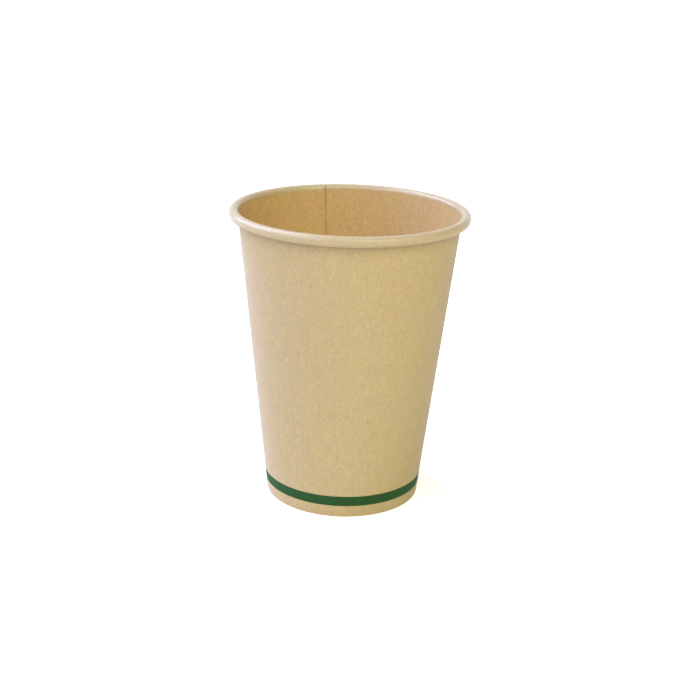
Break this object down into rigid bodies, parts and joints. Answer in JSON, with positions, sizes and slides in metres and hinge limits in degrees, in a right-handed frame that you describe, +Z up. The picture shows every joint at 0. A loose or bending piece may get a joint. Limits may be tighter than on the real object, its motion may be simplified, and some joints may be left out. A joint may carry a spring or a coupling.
{
  "type": "paper cup",
  "caption": "Tapered single-wall kraft paper cup for hot drinks, with a rolled rim, a lapped side seam, a recessed paper bottom in a folded hem and a plain green stripe near the base.",
  "frame": {"origin": "centre of the base ring, on the surface that the cup stands on", "axes": "+Z up along the cup's axis, -Y towards the viewer, with the side seam at the back, 14 degrees to the left of +Y as the viewer sees it"},
  "size_m": [0.0899, 0.09, 0.112],
  "materials": {
    "kraft_paper": "matte uncoated kraft board with fine fibres",
    "barrier_coat": "thin clear satin coat over kraft board",
    "seal_film": "melted clear coat between two layers of board",
    "green_ink": "matte dark green ink on kraft board"
  },
  "bodies": {
    "root": {"side_wall": "kraft_paper", "bottom_disc": "kraft_paper", "wall_coat": "barrier_coat", "floor_coat": "barrier_coat", "side_seam_seal": "seal_film", "skirt_seal": "seal_film", "hem_seal": "seal_film", "printed_band": "green_ink"}
  },
  "joints": []
}
